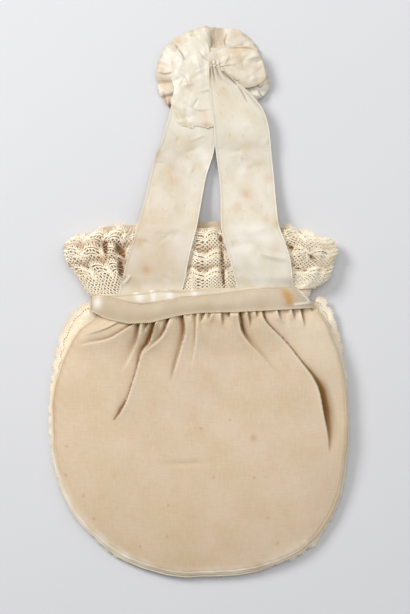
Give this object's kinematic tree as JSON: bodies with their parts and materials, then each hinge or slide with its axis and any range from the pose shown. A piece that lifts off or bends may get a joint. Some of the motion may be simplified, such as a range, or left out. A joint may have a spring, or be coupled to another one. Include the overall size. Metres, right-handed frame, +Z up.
{
  "type": "gathered silk purse",
  "caption": "Round-bottomed silk purse gathered at the waist, with lace tiers, a lace edging, a ribbon loop handle and a ribbon rosette.",
  "frame": {"origin": "centre of the bounding box at the surface that the purse lies on", "axes": "+Z up from the surface, +Y from the bag towards the handle and rosette, +X to the right"},
  "size_m": [0.1835, 0.3338, 0.0205],
  "materials": {
    "silk": "matt woven silk",
    "lace": "cotton lace",
    "satin": "satin ribbon",
    "braid": "ribbed band"
  },
  "bodies": {
    "root": {"front_panel": "silk", "back_panel": "silk", "edge_lace": "lace", "lace_tier_low": "lace", "lace_tier_middle": "lace", "lace_tier_top": "lace", "drawstring_ribbon": "satin", "waistband": "braid", "strap_left": "satin", "strap_right": "satin", "ribbon_tail": "satin", "rosette": "satin"}
  },
  "joints": []
}
